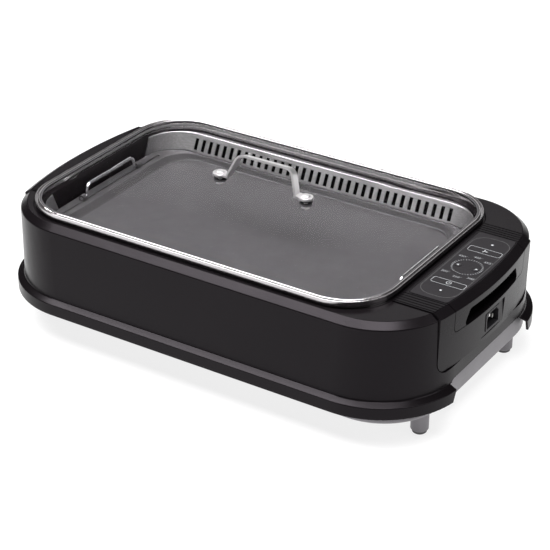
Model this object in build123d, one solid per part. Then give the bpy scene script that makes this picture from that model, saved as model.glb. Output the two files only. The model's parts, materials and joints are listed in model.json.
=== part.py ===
from build123d import *
import math
import os

# Electric griddle: frame and driving dimensions, in millimetres.
# X runs along the long side and the controls are at +X, Y points to the back, Z points up.
# The origin is on the table under the middle of the body.

WALL = 2.6                   # moulded housing wall
FIT = 0.3                    # running gap between pieces that part or move
SHEET = 1.0                  # pressed steel sheet
BORE_GAP = 0.05              # radial clearance of a shaft in its hole
FAR_X, FAR_Z = 265.0, 150.0  # beyond the ends and above the deck, for cutters
FLATNESS = 0.001             # an edge that rises less than this is level

# Body outlines: half length, half width, corner radius, height above the table.
SKIRT_HALF = (255.8, 156.2, 90.4)
WAIST_HALF = (247.7, 149.4, 83.0)
SHOULDER_HALF = (245.6, 147.6, 78.2)
DECK_HALF = (238.6, 140.6, 71.2)
SKIRT_LOW, SKIRT_TOP, WAIST_Z, SHOULDER_Z, DECK_Z = 37.1, 49.8, 53.0, 128.2, 134.4

# Rounded edges round the outside: height, radius.
HOUSING_ROUNDINGS = ((DECK_Z, 1.2), (SHOULDER_Z, 1.6), (SKIRT_TOP, 0.9), (WAIST_Z, 1.8), (SKIRT_LOW, 0.8))

# Cooking well: everything in it shares one middle.
WELL_X = -16.0
WELL_HALF = (199.4, 127.0, 50.0)
WELL_LIP_RADIUS = 3.0        # rounding where the lid's seat turns down into the well
SEAT_GAP, SEAT_DEPTH = 1.3, 1.6          # the lid's rim stands in a shallow seat in the deck
SEAT_ROUNDING = 1.2
DECK_THICK = 3.4
COLLAR_LOW = 98.0            # lower end of the well's collar
LEDGE_LOW, LEDGE_TOP = 100.0, 102.4
LEDGE_DEPTH = 6.0

# End covers (the right one holds the controls).
COVER_HALF_Y = 93.0
COVER_LOW, COVER_BEVEL_Z, COVER_TOP = 69.7, 129.5, 135.4
COVER_CORNER = 13.5
COVER_GAP = 0.9              # seam between each cover and the housing
COVER_ROUNDING = 1.0
COVER_INNER_X = {1: 193.5, -1: 225.6}   # right and left, from the middle of the body
# Bulging outer outline of each cover: x at the two ends, x in the middle, at the three heights.
RIGHT_BULGE = ((242.8, 250.4), (244.1, 253.9), (235.8, 245.3))
LEFT_BULGE = ((242.8, 249.4), (243.6, 253.4), (235.4, 244.9))
RIB_PITCH = 4.2
RIB_GROOVE = 1.3
RIB_DEPTH = 0.8
RIB_START_Y = 73.5           # the ribs lie between here and the cover's ends
GRIP_LOW, GRIP_TOP = 105.2, 122.6
GRIP_HALF_LOW, GRIP_HALF_TOP = 56.0, 47.0
GRIP_BACK_X = {1: 226.0, -1: 231.5}      # back wall of each finger pocket
POCKET_WALL = 1.6
GRIP_CORNER = 4.6
SEAM = 0.8                   # width and depth of the parting line round the grip
SEAM_HALF_Y = 71.6
SEAM_RISE = 0.4              # height of its level run above the bottom of the finger slot
SEAM_CORNER = 6.0

# Arch cut through the skirt at both ends.
ARCH_HALF_Y, ARCH_TOP, ARCH_RADIUS = 74.0, 55.3, 9.0
ARCH_FLARE = 6.0
ARCH_INNER_X = 228.0

# Control panel.
PANEL_HALF_Y = 71.4
PANEL_INNER_X, PANEL_EDGE_X, PANEL_APEX_X = 198.8, 238.4, 244.1
PANEL_CORNER = 3.0
PANEL_GAP = 0.7              # groove round the panel
PANEL_FLANGE, PANEL_FLANGE_INSET = 2.6, 2.2    # flange past three sides, and back from the bowed side
PANEL_TOP = 135.9
PANEL_FLANGE_LOW, PANEL_FLANGE_TOP = 131.0, 132.8
DIAL_X = 222.0
DIAL_RING, DIAL_RING_DEPTH = (13.7, 17.2), 0.8   # inner and outer radius of the lit scale, and its depth
LONG_KEY, LONG_KEY_CORNER = (33.4, 8.6), 2.4
LONG_KEY_Y = 37.0
ROUND_KEY_RADIUS = 3.6
ROUND_KEY_STEP = 9.4         # distance of each round key from the dial's middle
KEY_TRAVEL = 0.8
KEY_PROUD = 0.2
KEY_FLANGE, KEY_FLANGE_THICK = 1.2, 1.1         # retaining flange: how far it spreads, and its thickness
KEY_FLANGE_TOP = PANEL_FLANGE_LOW - 0.1
KEY_STEM_LOW, KEY_STEM_RADIUS = 129.5, 2.0
LAMP_Y, LAMP_RADIUS = 53.0, 1.2
BOARD_LOW, BOARD_TOP = 124.5, 126.1
BOARD_X = (201.0, 236.0)
BOARD_HALF_Y = 66.0
BOARD_POSTS = ((205.0, 60.0), (229.0, 60.0))
BOARD_POST_RADIUS = 2.6
BOARD_SCREW_RADIUS, BOARD_SCREW_TOP, BOARD_SCREW_HEAD = 0.9, 129.0, (1.8, 1.2)
SWITCH_SIZE, SWITCH_TOP = 6.0, 127.9
PLUNGER_RADIUS, PLUNGER_GAP = 1.6, 0.15          # gap left under a fully pressed key
PLUNGER_TOP = KEY_STEM_LOW - KEY_TRAVEL - PLUNGER_GAP

# Mains inlet.
BAY_Y, BAY_Z = 3.0, 88.0
BAY_SIZE = (46.0, 25.5)
BAY_X, BAY_CORNER = 250.2, 2.0
BACKING_LIP, BACKING_THICK = 1.0, 3.0    # plate moulded behind the bay
INLET_CAVITY, INLET_CLIP = (24.0, 16.2), 4.6     # socket mouth, and the cut across its upper corners
INLET_WALL, INLET_CORNER = 1.8, 1.5
INLET_BACK_X, INLET_MOUTH_X = 226.0, 250.8
INLET_DEPTH = 17.0
INLET_FLANGE, INLET_FLANGE_THICK = (3.0, 2.0), 2.0
PIN_SPOTS = ((0.0, 2.0), (-7.0, -2.0), (7.0, -2.0))      # (y, z) from the middle of the bay
PIN_HALF, PIN_X = (1.0, 2.0), (221.0, 247.2)

# Bottom pan, feet and the pillars that carry the heater box.
PAN_HALF = (243.0, 144.6, 78.0)
PAN_LOW, PAN_FLOOR, PAN_TOP = 27.0, 29.0, 58.0
PAN_FOOT_CORNER = 67.0                   # corners are squarer low down, and draw in to clear the housing
PAN_DRAW_IN_Z = (40.0, 48.0)
PAN_WALL, PAN_ROUNDING = 2.0, 4.0
SHELF_LOW, SHELF_TOP, SHELF_DEPTH = 60.0, 62.4, 14.0
BOSS_RADIUS = 4.6
BOSS_SPOTS = ((80.0, 137.0), (180.0, 132.0), (228.0, 60.0))
FOOT_X, FOOT_Y, FOOT_RADIUS, FOOT_PAD = 225.0, 88.5, 8.9, 3.0
PILLAR_RADIUS = 5.0
PILLAR_SPOTS = ((120.0, 70.0), (0.0, 100.0))   # from the well's middle
SCREW_RADIUS, SCREW_HEAD = 1.5, (3.2, 1.8)     # heads are given as (radius, height)
SCREW_TOP, PILOT_TOP = 44.0, 46.0
FOOT_CHAMFER, PAD_CHAMFER, PAD_INSET = 1.6, 0.8, 1.8
EXHAUST_COUNT, EXHAUST_SPOT, EXHAUST_SIZE = 28, 41.0, (17.0, 3.6)

# Fan under the heater box.
FAN_MOTOR_RADIUS, FAN_MOTOR_SHOULDER, FAN_MOTOR_TOP = 26.0, 42.5, 45.5
FAN_SHAFT_RADIUS, FAN_SHAFT_LOW, FAN_BORE_LOW = 1.5, 33.5, 33.0
FAN_HUB_RADIUS, FAN_DISC = 7.0, 1.8
FAN_RADIUS, FAN_BLADE_INNER = 49.0, 37.0
FAN_LOW, FAN_TOP = 47.5, 59.0
FAN_BLADES, FAN_BLADE_THICK, FAN_BLADE_TURN = 30, 1.2, 35
FAN_RIM, FAN_RIM_OUTER, FAN_RIM_INNER = 2.0, 49.6, 46.0  # height and radii of the ring that joins the blades
SHROUD_RADIUS, SHROUD_TOP, SHROUD_WALL = 56.0, 63.0, 2.0
SHROUD_EYE = 38.0

# Heater box, element and drip tray.
BOX_HALF = (190.0, 118.0, 40.0)
BOX_LOW = 66.0
BOX_SHEET = 1.2
FLANGE_HALF = (199.0, 126.6, 49.6)
FLANGE_TOP = 103.6
FRAME_TOP = 106.0
FRAME_OPENING = (181.0, 112.4, 35.0)
AIR_GAP_REACH, AIR_GAP_PITCH, AIR_GAP_HALF = 150, 20, 7  # slits through the flange and frame, along X
AIR_GAP_Y = (119.5, 124.0)
ELEMENT_HALF = (168.0, 96.0, 40.0)
ELEMENT_Z, ELEMENT_RADIUS = 92.0, 3.25
ELEMENT_TAIL_Y, ELEMENT_TAIL_X, ELEMENT_TAIL_CORNER = 9.0, 189.0, 8.0
TAIL_HOLE_RADIUS = 4.0
CLIP_SPOTS_X, CLIP_SPOT_Y = (-100, 0, 100), 40
CLIP_HALF = (3.0, 2.6)                   # along the element and across it
TERMINAL_X, TERMINAL_HALF_Y, TERMINAL_LOW = (174.0, 186.0), 18.0, 84.0
SENSOR_SPOT = (180.0, 60.0)              # from the well's middle
SENSOR_STEM_RADIUS, SENSOR_CAP_RADIUS, SENSOR_CAP_LOW = 2.0, 4.0, 91.5
TRAY_HALF = (158.0, 86.0, 30.0)
TRAY_LIP = 3.0
TRAY_LOW, TRAY_TOP, TRAY_SHEET = 67.5, 84.0, 1.5

# Griddle plate and its two wire bails.
PLATE_HALF = (197.6, 112.0, 37.0)
PLATE_TOP, PLATE_FLANGE_LOW = 111.6, 106.3
PLATE_FLOOR, PLATE_UNDER = 105.0, 99.5
PLATE_BODY_HALF = (179.4, 110.8, 33.0)
PLATE_FLOOR_HALF = (173.5, 106.5, 28.0)
PLATE_RIM_HALF = (178.5, 109.4, 32.0)
PLATE_ROUNDINGS = ((PLATE_TOP, 1.0), (PLATE_FLOOR, 2.5))   # height, radius
DRAIN_X, DRAIN_WIDTH, DRAIN_DEPTH, DRAIN_HALF_Y = 186.0, 3.0, 1.0, 84.0
BAIL_X = 188.0               # from the well's middle
BAIL_HALF_Y, BAIL_PIVOT_Z, BAIL_TOP_Z = 41.0, 114.6, 126.6
BAIL_WIRE = 1.7
BAIL_CORNER, BAIL_FOOT_CORNER = 7.5, 2.6
LUG_SIZE = (6.4, 6.0)
LUG_GAP = 1.6                # wire's upright leg to its lug
LUG_TOP, LUG_ROUNDING = 117.6, 2.6

# Slotted steel liners in front of and behind the plate.
LINER_BASE = (198.3, 112.9, 38.0)
LINER_MOUTH = (198.3, 122.0, 42.0)
LINER_FLANGE = (199.3, 126.4, 49.4)   # outer edge of the turned-out top
LINER_FOLD = 0.8
LINER_LOW, LINER_TURN, LINER_TOP = 106.0, 111.8, 130.0
LINER_END_LOW, LINER_END_TOP = 76.5, 84.0
SLOT_COUNT, SLOT_PITCH, SLOT_WIDTH = 35, 9.3, 4.3
SLOT_LOW, SLOT_TOP = 113.2, 125.3
SLOT_CUT_Y = (108.0, 125.0)              # the slots' cutters reach from inside the wall to outside it

# Glass lid.
LID_HALF = (207.9, 135.0, 54.9)
LID_LOW, LID_TOP = 136.4, 141.2
SEAT_Z = DECK_Z - SEAT_DEPTH
RIM_WALL, RIM_GROOVE, RIM_WIDTH = 1.3, 2.5, 5.2   # from the edge in to: wall, end of groove, end of bead
RIM_GROOVE_LOW, RIM_BEAD_TOP = 139.8, 141.7
RIM_SKIRT_INSET = 2.6
RIM_ROUNDINGS = ((LID_TOP, 0.5), (LID_LOW, 0.6), (RIM_BEAD_TOP, 1.0))   # height, radius
GLASS = 4.0
GLASS_EDGE_INSET = 3.0
GASKET_WIDTH, GASKET_TOP = 1.6, 141.1
# Pressed dome: a flat edge, then a curve that levels out at the top. Heights are of the upper face.
DOME_EDGE_Z, DOME_RISE = 140.6, 17.6
DOME_START, DOME_REACH = 4.0, 102.0
DOME_POWER, DOME_STEPS = 2.4, 12
DOME_MIN_RADIUS = 14.0
DOME_TOP = DOME_EDGE_Z + DOME_RISE
HANDLE_X, HANDLE_STEP = -10.5, 51.5
HANDLE_RING, HANDLE_HOLE, HANDLE_STRAP = 7.5, 2.2, 2.2
HANDLE_LEG_LOW, HANDLE_LEG_TOP = 41.0, 31.5
HANDLE_RISE, HANDLE_LEAN, HANDLE_WIDTH = 22.6, 8.0, 9.4
HANDLE_CORNER = 9.5
WASHER_RADIUS, WASHER_THICK = 6.6, 1.4
HANDLE_SCREW_HEAD, HANDLE_SCREW_ROUNDING = (4.6, 2.2), 1.6
NUT_RADIUS, NUT_HEIGHT, NUT_CROWN = 4.8, 3.2, 0.8      # the crown closes the nut below the screw


def grow(half, amount):
    """Offset a (half length, half width, corner radius) outline outwards by amount."""
    return (half[0] + amount, half[1] + amount, half[2] + amount)


def outline(half, z, middle_x=0.0):
    """Rounded rectangle at height z."""
    return Pos(middle_x, 0, z) * RectangleRounded(2 * half[0], 2 * half[1], half[2])


def slab(half, low, top, middle_x=0.0):
    """Upright block with a rounded-rectangle outline."""
    return extrude(outline(half, low, middle_x), amount=top - low)


def stack(sections, middle_x=0.0):
    """Solid through rounded rectangles given as (half, z), straight from each to the next."""
    return loft([outline(half, z, middle_x) for half, z in sections], ruled=True)


def level_edges(shape, z):
    """The edges that lie flat at height z."""
    flat = [edge for edge in shape.edges() if edge.bounding_box().size.Z < FLATNESS]
    return [edge for edge in flat if abs(edge.center().Z - z) < FLATNESS]


def edges_inside(edges, half, middle_x):
    """Those edges that stay within a (half length, half width, corner radius) outline's box."""
    kept = []
    for edge in edges:
        box = edge.bounding_box()
        reach_x = max(box.max.X - middle_x, middle_x - box.min.X)
        reach_y = max(box.max.Y, -box.min.Y)
        if reach_x < half[0] + FLATNESS and reach_y < half[1] + FLATNESS:
            kept.append(edge)
    return kept


def soften(shape, roundings):
    """Round the level edges at each (height, radius)."""
    for z, radius in roundings:
        shape = fillet(level_edges(shape, z), radius)
    return shape


def rod(radius, low, top, x=0.0, y=0.0):
    """Upright cylinder."""
    return Pos(x, y, (low + top) / 2) * Cylinder(radius, top - low)


def block(x_span, y_span, z_span):
    """Box between two corners, given as (low, high) spans."""
    size = [high - low for low, high in (x_span, y_span, z_span)]
    middle = [(low + high) / 2 for low, high in (x_span, y_span, z_span)]
    return Pos(*middle) * Box(*size)


def mirrored_spots(spots, middle_x=0.0):
    """The four quadrant copies of each (x, y) spot about middle_x; an x of zero gives two."""
    places = []
    for x, y in spots:
        for side in ((1, -1) if x else (1,)):
            places.append((middle_x + side * x, y))
            places.append((middle_x + side * x, -y))
    return places


def group(solids):
    """Several separate solids kept together in one node."""
    return Compound(children=list(solids))


def bulge_outline(edge_x, apex_x, half_y, inner_x, z, side):
    """Straight inner side, two short ends and an outer side that bows out to apex_x."""
    ends = Polyline(
        (side * edge_x, -half_y), (side * inner_x, -half_y), (side * inner_x, half_y), (side * edge_x, half_y)
    )
    bow = ThreePointArc((side * edge_x, half_y), (side * apex_x, 0), (side * edge_x, -half_y))
    return Pos(0, 0, z) * make_face(ends + bow)


def end_window(half_y, low, top, corner, x_span):
    """Prism along X whose section is a rectangle with two rounded lower corners."""
    section = Pos(0, (low + top) / 2) * Rectangle(2 * half_y, top - low)
    section = fillet(section.vertices().group_by(Axis.Y)[0], corner)
    return extrude(Plane.YZ.offset(x_span[0]) * section, amount=x_span[1] - x_span[0])


def polygon_along_x(points, x_span, corner=0.0):
    """Prism along X with a (y, z) polygon section, corners rounded where corner is given."""
    section = make_face(Polyline(*points, close=True))
    if corner:
        section = fillet(section.vertices(), corner)
    return extrude(Plane.YZ.offset(x_span[0]) * section, amount=x_span[1] - x_span[0])


def side_span(low, high, side):
    """A stretch of X at the right end (side 1), or its mirror image at the left end (side -1)."""
    return (low, high) if side > 0 else (-high, -low)


# ---------------------------------------------------------------- housing

def arch_cutters():
    """Arch under each end, with the skirt cut back at a slant below it."""
    rise = WAIST_Z - SKIRT_LOW
    flare = (
        (-ARCH_HALF_Y, WAIST_Z), (ARCH_HALF_Y, WAIST_Z),
        (ARCH_HALF_Y + ARCH_FLARE * (rise + 2) / rise, SKIRT_LOW - 2),
        (-ARCH_HALF_Y - ARCH_FLARE * (rise + 2) / rise, SKIRT_LOW - 2),
    )
    section = Pos(0, (SKIRT_LOW + ARCH_TOP) / 2) * Rectangle(2 * ARCH_HALF_Y, ARCH_TOP - SKIRT_LOW)
    section = fillet(section.vertices().group_by(Axis.Y)[-1], ARCH_RADIUS)
    cutters = []
    for side in (1, -1):
        span = side_span(ARCH_INNER_X, FAR_X, side)
        cutters.append(extrude(Plane.YZ.offset(span[0]) * section, amount=span[1] - span[0]))
        cutters.append(polygon_along_x(flare, span))
    return cutters


def boss_places():
    return mirrored_spots(BOSS_SPOTS)


def outer_housing():
    skin = stack([
        (SKIRT_HALF, SKIRT_LOW), (SKIRT_HALF, SKIRT_TOP), (WAIST_HALF, WAIST_Z),
        (SHOULDER_HALF, SHOULDER_Z), (DECK_HALF, DECK_Z),
    ])
    skin = soften(skin, HOUSING_ROUNDINGS)
    hollow = stack([
        (grow(SKIRT_HALF, -WALL), SKIRT_LOW - 1.0), (grow(SKIRT_HALF, -WALL), SKIRT_TOP - 1.2),
        (grow(WAIST_HALF, -WALL), WAIST_Z - 1.2), (grow(SHOULDER_HALF, -WALL), SHOULDER_Z - 1.0),
        (grow(DECK_HALF, -WALL), DECK_Z - DECK_THICK),
    ])
    shell = skin - hollow
    collar = slab(grow(WELL_HALF, WALL), COLLAR_LOW, DECK_Z, WELL_X)
    ledge = slab(grow(WELL_HALF, 0.5), LEDGE_LOW, LEDGE_TOP, WELL_X)
    ledge -= slab(grow(WELL_HALF, -LEDGE_DEPTH), LEDGE_LOW, LEDGE_TOP, WELL_X)
    shelf = hollow & slab(SKIRT_HALF, SHELF_LOW, SHELF_TOP)
    shelf -= slab(grow(PAN_HALF, -SHELF_DEPTH), SHELF_LOW, SHELF_TOP)
    body = (shell + collar) - slab(WELL_HALF, COLLAR_LOW - 1.0, DECK_Z + 1.0, WELL_X)
    seat = grow(LID_HALF, SEAT_GAP)
    body -= slab(seat, SEAT_Z, DECK_Z + 1.0, WELL_X)
    body = fillet(edges_inside(level_edges(body, SEAT_Z), WELL_HALF, WELL_X), WELL_LIP_RADIUS)
    body = fillet(edges_inside(level_edges(body, DECK_Z), seat, WELL_X), SEAT_ROUNDING)
    body += ledge
    body += shelf
    for x, y in boss_places():
        body += rod(BOSS_RADIUS, PAN_FLOOR, SHELF_TOP, x, y)
    half_y, low, corner = COVER_HALF_Y + COVER_GAP, COVER_LOW - COVER_GAP, COVER_CORNER + COVER_GAP
    for side in (1, -1):
        body -= end_window(half_y, low, FAR_Z, corner, side_span(COVER_INNER_X[side] - FIT, FAR_X, side))
    for cutter in arch_cutters():
        body -= cutter
    for x, y in boss_places():
        body -= rod(SCREW_RADIUS, PAN_FLOOR, PILOT_TOP, x, y)
    return body


# ---------------------------------------------------------------- end covers

def bulge_sections(bulge, shrink):
    """(edge x, apex x) of a cover at its three heights, moved inwards by shrink."""
    return [(edge - shrink, apex - shrink) for edge, apex in bulge]


def cover_solid(bulge, side, shrink=0.0):
    """Cover's outer form, or its hollow where shrink is the wall thickness."""
    low, bevel, top = bulge_sections(bulge, shrink)
    half_y = COVER_HALF_Y - shrink
    inner_x = COVER_INNER_X[side] - 4 * shrink
    heights = (COVER_LOW + shrink, COVER_BEVEL_Z - shrink / 2, COVER_TOP - shrink)
    faces = [
        bulge_outline(edge, apex, half_y, inner_x, z, side)
        for (edge, apex), z in zip((low, bevel, top), heights)
    ]
    form = loft(faces, ruled=True)
    span = side_span(COVER_INNER_X[side] - 20.0, FAR_X, side)
    return form & end_window(half_y, COVER_LOW + shrink, FAR_Z, COVER_CORNER - shrink, span)


def grip_polygon(grown=0.0):
    return (
        (-GRIP_HALF_LOW - grown * 1.6, GRIP_LOW - grown), (GRIP_HALF_LOW + grown * 1.6, GRIP_LOW - grown),
        (GRIP_HALF_TOP + grown, GRIP_TOP + grown), (-GRIP_HALF_TOP - grown, GRIP_TOP + grown),
    )


def rib_grooves(side):
    """Parallel grooves along X over both ends of the cover's top."""
    z_span = (COVER_TOP - RIB_DEPTH, COVER_TOP + 1.0)
    count = int((COVER_HALF_Y - RIB_START_Y) / RIB_PITCH)
    grooves = []
    for number in range(count + 1):
        y = RIB_START_Y + RIB_GROOVE / 2 + number * RIB_PITCH
        for side_y in (y, -y):
            y_span = (side_y - RIB_GROOVE / 2, side_y + RIB_GROOVE / 2)
            grooves.append(block(side_span(COVER_INNER_X[side] - 1, FAR_X, side), y_span, z_span))
    return grooves


def grip_seam(bulge, side):
    """Parting line round the grip: down both ends and along under the finger slot."""
    low = GRIP_LOW + SEAM_RISE
    outer = end_window(SEAM_HALF_Y, low, FAR_Z, SEAM_CORNER, side_span(236.0, FAR_X, side))
    inner_span = side_span(235.0, FAR_X + 1, side)
    inner = end_window(SEAM_HALF_Y - SEAM, low + SEAM, FAR_Z + 1, SEAM_CORNER - SEAM, inner_span)
    depth = cover_solid(bulge, side, SEAM)
    return (outer - inner) - depth


def end_cover(bulge, side):
    cover = cover_solid(bulge, side)
    bevel = level_edges(cover, COVER_TOP) + level_edges(cover, COVER_BEVEL_Z)
    cover = fillet([edge for edge in bevel if side * edge.center().X > GRIP_BACK_X[side]], COVER_ROUNDING)
    cover -= cover_solid(bulge, side, WALL)
    back = GRIP_BACK_X[side]
    pocket_span = side_span(back - POCKET_WALL, FAR_X, side)
    pocket = polygon_along_x(grip_polygon(POCKET_WALL), pocket_span, GRIP_CORNER + POCKET_WALL)
    cover += pocket & cover_solid(bulge, side, 0.4)
    cover -= polygon_along_x(grip_polygon(), side_span(back, FAR_X, side), GRIP_CORNER)
    for groove in rib_grooves(side):
        cover -= groove
    return cover - grip_seam(bulge, side)


def panel_outline(grown, bow_grown, z):
    """Panel's outline moved outwards by grown, and by bow_grown on its bowed side."""
    face = bulge_outline(
        PANEL_EDGE_X + bow_grown, PANEL_APEX_X + bow_grown, PANEL_HALF_Y + grown, PANEL_INNER_X - grown, z, 1
    )
    return fillet(face.vertices(), PANEL_CORNER + grown)


def bay_prism(size, grown, radius, x_span):
    """Prism along X about the bay's middle: a rounded (y, z) rectangle grown on every side."""
    section = Pos(BAY_Y, BAY_Z) * RectangleRounded(size[0] + 2 * grown, size[1] + 2 * grown, radius)
    return extrude(Plane.YZ.offset(x_span[0]) * section, amount=x_span[1] - x_span[0])


def control_pod():
    pod = end_cover(RIGHT_BULGE, 1)
    pod += bay_prism(BAY_SIZE, BACKING_LIP, BAY_CORNER + BACKING_LIP, (BAY_X - BACKING_THICK, BAY_X))
    pod -= bay_prism(BAY_SIZE, 0, BAY_CORNER, (BAY_X, FAR_X))
    pod -= bay_prism(INLET_CAVITY, INLET_WALL, INLET_CORNER, (BAY_X - BACKING_THICK - 1.0, BAY_X + 1.0))
    pod -= extrude(panel_outline(PANEL_GAP, FIT, PANEL_FLANGE_TOP - 1.0), amount=5.0)
    return pod


def left_end_cover():
    return end_cover(LEFT_BULGE, -1)


# ---------------------------------------------------------------- mains inlet

def inlet_cavity_section():
    """Socket mouth: a rectangle with its two upper corners clipped."""
    half_y, half_z = INLET_CAVITY[0] / 2, INLET_CAVITY[1] / 2
    shoulder_y, shoulder_z = half_y - INLET_CLIP, half_z - INLET_CLIP
    corners = (
        (-half_y, -half_z), (half_y, -half_z), (half_y, shoulder_z),
        (shoulder_y, half_z), (-shoulder_y, half_z), (-half_y, shoulder_z),
    )
    return [(BAY_Y + y, BAY_Z + z) for y, z in corners]


def inlet_socket():
    body = bay_prism(INLET_CAVITY, INLET_WALL, INLET_CORNER, (INLET_BACK_X, INLET_MOUTH_X))
    flange_size = (INLET_CAVITY[0] + 2 * INLET_FLANGE[0], INLET_CAVITY[1] + 2 * INLET_FLANGE[1])
    flange_top = BAY_X - BACKING_THICK
    body += bay_prism(flange_size, INLET_WALL, INLET_CORNER, (flange_top - INLET_FLANGE_THICK, flange_top))
    body -= polygon_along_x(inlet_cavity_section(), (INLET_MOUTH_X - INLET_DEPTH, INLET_MOUTH_X + 1.0))
    for y, z in PIN_SPOTS:
        body -= inlet_pin(y, z)
    return body


def inlet_pin(y, z):
    """Flat blade at (y, z) from the middle of the bay."""
    y_span = (BAY_Y + y - PIN_HALF[0], BAY_Y + y + PIN_HALF[0])
    z_span = (BAY_Z + z - PIN_HALF[1], BAY_Z + z + PIN_HALF[1])
    return block(PIN_X, y_span, z_span)


def inlet_pins():
    """The earth pin above and two pins below."""
    return group(inlet_pin(y, z) for y, z in PIN_SPOTS)


# ---------------------------------------------------------------- control panel

def long_key_outline(grown, z, y):
    length, width = (size + 2 * grown for size in LONG_KEY)
    return Pos(DIAL_X, y, z) * RectangleRounded(length, width, LONG_KEY_CORNER + grown)


def round_key_outline(grown, z, x):
    return Pos(x, 0, z) * Circle(ROUND_KEY_RADIUS + grown)


def key_outlines(grown, z):
    """Outlines of the four keys, all moved outwards by grown."""
    faces = [long_key_outline(grown, z, y) for y in (LONG_KEY_Y, -LONG_KEY_Y)]
    faces += [round_key_outline(grown, z, DIAL_X + step) for step in (ROUND_KEY_STEP, -ROUND_KEY_STEP)]
    return faces


def control_panel():
    plate = extrude(panel_outline(0, 0, PANEL_FLANGE_TOP), amount=PANEL_TOP - PANEL_FLANGE_TOP)
    flange = panel_outline(PANEL_FLANGE, -PANEL_FLANGE_INSET, PANEL_FLANGE_LOW)
    plate += extrude(flange, amount=PANEL_FLANGE_TOP - PANEL_FLANGE_LOW)
    for face in key_outlines(FIT, PANEL_FLANGE_LOW - 1):
        plate -= extrude(face, amount=10.0)
    plate -= dial_ring(PANEL_TOP + 1)
    for y in (LAMP_Y, -LAMP_Y):
        plate -= rod(LAMP_RADIUS, PANEL_FLANGE_LOW - 1, PANEL_TOP + 1, DIAL_X, y)
    for x, y in board_post_places():
        plate += rod(BOARD_POST_RADIUS, BOARD_TOP, PANEL_FLANGE_LOW, x, y)
        plate -= rod(BOARD_SCREW_RADIUS, BOARD_TOP, PANEL_FLANGE_LOW + 0.5, x, y)
    return plate


def board_post_places():
    return [(x, side * y) for x, y in BOARD_POSTS for side in (1, -1)]


def dial_ring(top):
    """Ring that fills the dial's groove, from the groove's floor up to top."""
    inner, outer = DIAL_RING
    low = PANEL_TOP - DIAL_RING_DEPTH
    return rod(outer, low, top, DIAL_X) - rod(inner, low, top, DIAL_X)


def dial_light_ring():
    return dial_ring(PANEL_TOP)


def status_lamps():
    return group(rod(LAMP_RADIUS, BOARD_TOP, PANEL_TOP, DIAL_X, y) for y in (LAMP_Y, -LAMP_Y))


def key(top_outline, flange_outline, x, y):
    """Key cap through the panel, a retaining flange under it and a stem over its switch."""
    cap = extrude(top_outline, amount=PANEL_TOP + KEY_PROUD - KEY_FLANGE_TOP)
    flange = extrude(flange_outline, amount=KEY_FLANGE_THICK)
    return cap + flange + rod(KEY_STEM_RADIUS, KEY_STEM_LOW, KEY_FLANGE_TOP - 0.5, x, y)


def long_key(y):
    flange_outline = long_key_outline(KEY_FLANGE, KEY_FLANGE_TOP - KEY_FLANGE_THICK, y)
    return key(long_key_outline(0, KEY_FLANGE_TOP, y), flange_outline, DIAL_X, y)


def round_key(x):
    flange_outline = round_key_outline(KEY_FLANGE, KEY_FLANGE_TOP - KEY_FLANGE_THICK, x)
    return key(round_key_outline(0, KEY_FLANGE_TOP, x), flange_outline, x, 0)


def switch_places():
    return (
        (DIAL_X, LONG_KEY_Y), (DIAL_X, -LONG_KEY_Y),
        (DIAL_X + ROUND_KEY_STEP, 0), (DIAL_X - ROUND_KEY_STEP, 0),
    )


def control_board():
    board = block(BOARD_X, (-BOARD_HALF_Y, BOARD_HALF_Y), (BOARD_LOW, BOARD_TOP))
    for x, y in board_post_places():
        board -= rod(BOARD_SCREW_RADIUS, BOARD_LOW - 1, BOARD_TOP + 1, x, y)
    return board


def tact_switches():
    half = SWITCH_SIZE / 2
    switches = []
    for x, y in switch_places():
        body = block((x - half, x + half), (y - half, y + half), (BOARD_TOP, SWITCH_TOP))
        switches.append(body + rod(PLUNGER_RADIUS, SWITCH_TOP - 0.2, PLUNGER_TOP, x, y))
    return group(switches)


def board_screws():
    screws = []
    for x, y in board_post_places():
        head = rod(BOARD_SCREW_HEAD[0], BOARD_LOW - BOARD_SCREW_HEAD[1], BOARD_LOW, x, y)
        screws.append(head + rod(BOARD_SCREW_RADIUS, BOARD_LOW - 0.5, BOARD_SCREW_TOP, x, y))
    return group(screws)


# ---------------------------------------------------------------- bottom pan and feet

def pillar_places():
    return mirrored_spots(PILLAR_SPOTS, WELL_X)


def pan_slots():
    """Exhaust slots in the floor, in a ring under the fan."""
    length, width = EXHAUST_SIZE
    slot = Pos(EXHAUST_SPOT, 0, PAN_LOW) * Box(length, width, 4 * PAN_WALL)
    turns = [360 * number / EXHAUST_COUNT for number in range(EXHAUST_COUNT)]
    return [Pos(WELL_X, 0, 0) * Rot(0, 0, turn) * slot for turn in turns]


def pan_form(shrink, low, top):
    """Pan's outer form, or its hollow where shrink is the wall thickness."""
    upper = grow(PAN_HALF, -shrink)
    lower = (upper[0], upper[1], PAN_FOOT_CORNER - shrink)
    return stack([(lower, low), (lower, PAN_DRAW_IN_Z[0]), (upper, PAN_DRAW_IN_Z[1]), (upper, top)])


def bottom_pan():
    pan = soften(pan_form(0, PAN_LOW, PAN_TOP), [(PAN_LOW, PAN_ROUNDING)])
    pan -= pan_form(PAN_WALL, PAN_FLOOR, PAN_TOP + 1)
    for x, y in pillar_places():
        pan += rod(PILLAR_RADIUS, PAN_FLOOR - 0.5, BOX_LOW, x, y)
    for slot in pan_slots():
        pan -= slot
    for x, y in boss_places():
        pan -= rod(SCREW_RADIUS, PAN_LOW - 1, PAN_FLOOR + 1, x, y)
    return pan


def pan_screws():
    screws = []
    for x, y in boss_places():
        head = rod(SCREW_HEAD[0], PAN_LOW - SCREW_HEAD[1], PAN_LOW, x, y)
        screws.append(head + rod(SCREW_RADIUS, PAN_LOW - 0.5, SCREW_TOP, x, y))
    return group(screws)


def foot_places():
    return mirrored_spots([(FOOT_X, FOOT_Y)])


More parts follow.
